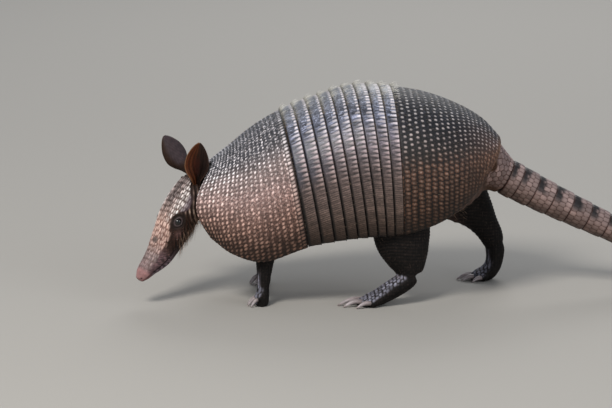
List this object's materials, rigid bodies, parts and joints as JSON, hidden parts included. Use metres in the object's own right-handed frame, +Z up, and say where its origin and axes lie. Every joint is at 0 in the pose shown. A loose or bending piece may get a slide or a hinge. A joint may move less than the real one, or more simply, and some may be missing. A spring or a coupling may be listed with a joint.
{
  "type": "nine-banded armadillo",
  "caption": "Life-size armadillo walking with its nose to the ground: jointed armour over the back, head shield, ringed tail, clawed feet.",
  "frame": {"origin": "centre of the footprint of the bounding box, on the floor", "axes": "+Z up, the animal faces -X with its tail to +X, its left side is -Y"},
  "size_m": [0.68, 0.1604, 0.2118],
  "materials": {
    "shield": "horny round scutes, pale on a dark grey-brown ground, satin",
    "band": "narrow pale scutes along each band's rear, smooth dark slate front, satin",
    "crown": "long pinkish-tan head plates, satin",
    "skin": "dark brown wrinkled skin with sparse pale hair, dull",
    "ear": "thin dark mauve-brown skin with fine warts, dull",
    "tail": "hexagonal mauve-brown scutes in rings with black patches, satin",
    "limb": "near-black scaly skin with pale scales on the toes, dull",
    "claw": "pale mauve-grey horn",
    "eye": "wet black"
  },
  "bodies": {
    "root": {"scapular_shield": "shield", "band_1": "band", "band_2": "band", "band_3": "band", "band_4": "band", "band_5": "band", "band_6": "band", "band_7": "band", "band_8": "band", "band_9": "band", "pelvic_shield": "shield", "trunk": "skin", "head": "skin", "head_shield": "crown", "eye_left": "eye", "eye_right": "eye", "ear_left": "ear", "ear_right": "ear", "neck": "skin", "tail_ring_1": "tail", "tail_ring_2": "tail", "tail_ring_3": "tail", "tail_ring_4": "tail", "tail_ring_5": "tail", "tail_ring_6": "tail", "tail_ring_7": "tail", "tail_ring_8": "tail", "tail_ring_9": "tail", "tail_ring_10": "tail", "tail_ring_11": "tail", "tail_ring_12": "tail", "tail_tip": "tail", "leg_fore_left": "limb", "foot_fore_left": "limb", "claw_fore_left_1": "claw", "claw_fore_left_2": "claw", "claw_fore_left_3": "claw", "claw_fore_left_4": "claw", "leg_fore_right": "limb", "foot_fore_right": "limb", "claw_fore_right_1": "claw", "claw_fore_right_2": "claw", "claw_fore_right_3": "claw", "claw_fore_right_4": "claw", "leg_hind_left": "limb", "foot_hind_left": "limb", "claw_hind_left_1": "claw", "claw_hind_left_2": "claw", "claw_hind_left_3": "claw", "claw_hind_left_4": "claw", "claw_hind_left_5": "claw", "leg_hind_right": "limb", "foot_hind_right": "limb", "claw_hind_right_1": "claw", "claw_hind_right_2": "claw", "claw_hind_right_3": "claw", "claw_hind_right_4": "claw", "claw_hind_right_5": "claw"}
  },
  "joints": []
}
